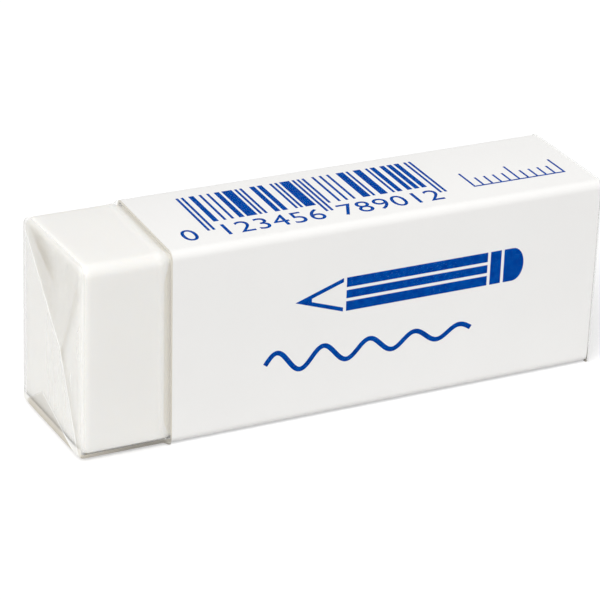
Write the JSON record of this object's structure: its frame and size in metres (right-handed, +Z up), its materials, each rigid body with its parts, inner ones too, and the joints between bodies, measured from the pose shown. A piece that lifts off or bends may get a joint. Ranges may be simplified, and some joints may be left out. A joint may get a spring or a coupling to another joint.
{
  "type": "rubber eraser",
  "caption": "White block eraser in a plain card sleeve, sealed in a clear film wrap with folded ends; it stands on its narrow long side.",
  "frame": {"origin": "middle of the face that the wrapped eraser stands on", "axes": "+X along the length, away from the bare end; +Y from the front to the back; +Z up"},
  "size_m": [0.0554, 0.0139, 0.02],
  "materials": {
    "vinyl": "matte",
    "card": "satin",
    "film": "clear gloss"
  },
  "bodies": {
    "root": {"eraser_block": "vinyl", "card_sleeve": "card", "film_wrap": "film"}
  },
  "joints": []
}
